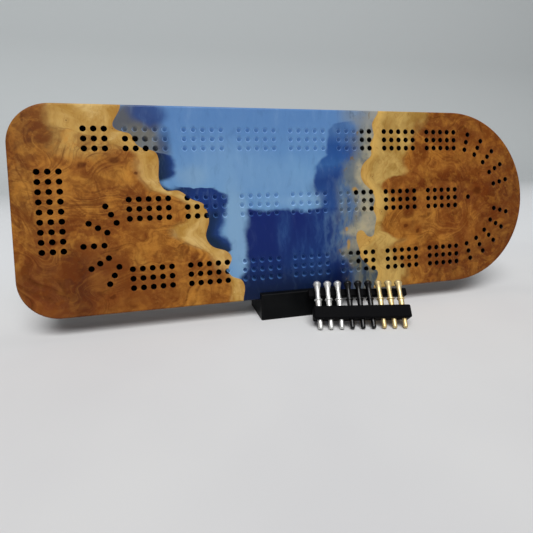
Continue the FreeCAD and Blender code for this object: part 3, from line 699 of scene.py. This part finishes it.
def stand_black():
    """Smooth black block with fine dust and worn edges."""
    g = Graph("stand_black")
    spot = g.space((0, 0, 0), (0, 0, 0))
    grain = g.grey(spot, 0.8, 4, 0.6)
    dust = g.grey(spot, 16, 4, 0.6)
    colour = g.mix(g.step(dust, 0.35, 0.7), tone(3, 4, 5), tone(8, 9, 10))
    colour = g.paint(colour, g.step(grain, 0.5, 0.8), 0.3, tone(18, 19, 20))
    colour = g.paint(colour, edge_wear(g, spot, 1.0), 0.45, tone(60, 60, 60))
    roughness = g.span(g.grey(spot, 9, 4, 0.6), 0.36, 0.55)
    return g.finish(colour, roughness, g.bump(grain, 0.03, 0.4), Specular_IOR_Level=0.1)


def rack_black():
    """Fine-grained matte black."""
    grain_size = 0.625
    g = Graph("rack_black")
    spot = g.space(*rack_placement())
    grain = g.cells(spot, grain_size)["Distance"]
    fine = g.grey(spot, 0.5, 3, 0.6)
    smear = g.grey(spot, 8, 4, 0.6)
    colour = g.mix(g.step(smear, 0.35, 0.68), tone(2, 2, 4), tone(7, 7, 8))
    colour = g.paint(colour, g.step(grain, 0.3, 0.6), 0.4, tone(14, 14, 15))
    colour = g.paint(colour, edge_wear(g, spot, 0.8), 0.4, tone(56, 55, 55))
    roughness = g.span(g.plus(g.times(smear, 0.6), g.times(fine, 0.4)), 0.55, 0.8)
    normal = g.bump(fine, 0.03, 0.4, g.bump(grain, 0.08, 0.6))
    return g.finish(colour, roughness, normal, Specular_IOR_Level=0.05)


def turned_metal(name, plain, dull, low, high, **constants):
    """Lathe rings along the peg, handling smears, and a duller tip. Roughness is low to high."""
    g = Graph(name)
    spot = g.space(*rack_placement())
    height = g.split(spot)[2]
    across = 40                     # stretches the noise across the peg, which turns it into rings
    rings = g.grey(g.place(spot, scale=(across, across, 1)), 0.35, 2, 0.6)
    smear = g.grey(g.warp(spot, 6, 2), 4.5, 4, 0.6)
    colour = g.mix(g.step(smear, 0.38, 0.68), plain, dull)
    colour = g.paint(colour, g.step(rings, 0.55, 0.8), 0.25, dull)
    colour = g.paint(colour, edge_wear(g, spot, 0.35), 0.35, plain)
    tip = g.step(g.plus(height, g.span(smear, -1, 1)), 3.2, 0.4)
    colour = g.paint(colour, tip, 0.35, dull)
    roughness = g.span(g.plus(g.times(smear, 0.7), g.times(rings, 0.3)), low, high)
    return g.finish(colour, roughness, g.bump(rings, 0.012, 0.5), **constants)


def paint_nodes():
    """Give every CAD node the material of the slot that the record names for it."""
    materials = {
        "burl_wood": burl_wood(),
        "river_resin": river_resin(),
        "stand_black": stand_black(),
        "rack_black": rack_black(),
        "silver_metal": turned_metal("silver_metal", tone(232, 232, 229), tone(200, 200, 197), 0.36, 0.58,
                                     Metallic=0.85),
        "gold_metal": turned_metal("gold_metal", tone(232, 212, 162), tone(210, 184, 128), 0.38, 0.60,
                                   Metallic=0.85),
        "black_metal": turned_metal("black_metal", tone(5, 5, 6), tone(10, 10, 11), 0.24, 0.46,
                                    Specular_IOR_Level=0.30, Coat_Weight=0.12, Coat_Roughness=0.15),
    }
    for part in frame["record"]["subparts"]:
        mesh = NODES[part["node"]].data
        mesh.materials.clear()
        mesh.materials.append(materials[part["material_slot"]])


def sweep_paper():
    """Pale paper, with painted light on the floor behind the board and painted shade making it a little
    greyer towards the top of the wall.
    """
    g = Graph("backdrop_paper")
    spot = g.space((0, 0, 0), (0, 0, 0))
    depth = g.split(spot)[1]
    colour = g.mix(g.step(g.grey(spot, 180, 3), 0.35, 0.65), tone(202, 202, 203), tone(207, 207, 207))
    # painted light: the floor from just in front of the board to behind it is brighter
    colour = g.mix(g.step(depth, -60, 240), colour, tone(213, 215, 217))
    # painted shade: greyer up the curve and the wall
    colour = g.mix(g.step(depth, 450, 1150), colour, tone(176, 180, 181))
    grain = g.grey(spot, 1.2, 3, 0.6)
    return g.finish(colour, g.span(grain, 0.75, 0.9), g.bump(grain, 0.01, 0.2), Specular_IOR_Level=0.2)


def make_backdrop():
    """A pale sweep: flat floor, then a curve up into a plain wall. Its sizes are in metres."""
    near = -2.2                     # the floor's front edge
    turn_at = 0.95                  # where the floor starts to curve up
    radius = 0.5
    top = 0.95
    half_width = 2.6
    steps = 24                      # facets in the curve
    profile = [(near, 0.0), (turn_at, 0.0)]
    for number in range(1, steps + 1):
        angle = math.pi / 2 * number / steps
        profile.append((turn_at + radius * math.sin(angle), radius * (1 - math.cos(angle))))
    profile.append((turn_at + radius, top))
    points = [(side * half_width, y, z) for y, z in profile for side in (-1, 1)]
    faces = [(2 * n, 2 * n + 1, 2 * n + 3, 2 * n + 2) for n in range(len(profile) - 1)]
    mesh = bpy.data.meshes.new("backdrop")
    mesh.from_pydata(points, [], faces)
    for polygon in mesh.polygons:
        polygon.use_smooth = True
    mesh.materials.append(sweep_paper())
    sweep = bpy.data.objects.new("backdrop", mesh)
    bpy.context.scene.collection.objects.link(sweep)


def area_light(name, place, target, width, depth, power):
    """A soft rectangular light that points at the target, with its size in metres."""
    lamp = bpy.data.lights.new(name, "AREA")
    lamp.shape = "RECTANGLE"
    lamp.size = width
    lamp.size_y = depth
    lamp.energy = power
    item = bpy.data.objects.new(name, lamp)
    item.location = place
    item.rotation_euler = (Vector(target) - Vector(place)).to_track_quat("-Z", "Y").to_euler()
    bpy.context.scene.collection.objects.link(item)


def make_lights():
    """One large soft light in front and above, a weak one over the board, and a dim room."""
    area_light("key", (-0.8, -3.3, 4.7), (0.0, 0.15, 0.03), 4.2, 3.0, 415)
    area_light("top", (0.1, 0.45, 2.4), (0.0, 0.1, 0.0), 2.4, 0.6, 5)
    world = bpy.data.worlds.new("studio")
    bpy.context.scene.world = world
    world.use_nodes = True
    background = world.node_tree.nodes["Background"]
    background.inputs["Color"].default_value = (0.93, 0.96, 1.0, 1.0)
    background.inputs["Strength"].default_value = 0.06


def make_camera():
    lens = bpy.data.cameras.new("camera")
    lens.sensor_width = 36.0
    lens.lens = 27.88
    lens.shift_x = 0.0019
    lens.shift_y = -0.0563
    lens.clip_start = 0.01
    item = bpy.data.objects.new("camera", lens)
    item.location = Vector(CAMERA_PLACE) * MM
    item.rotation_euler = Euler((math.radians(CAMERA_TILT), 0, math.radians(CAMERA_PAN)))
    bpy.context.scene.collection.objects.link(item)
    bpy.context.scene.camera = item


paint_nodes()
make_backdrop()
make_lights()
make_camera()
bpy.context.scene.view_settings.view_transform = "Standard"
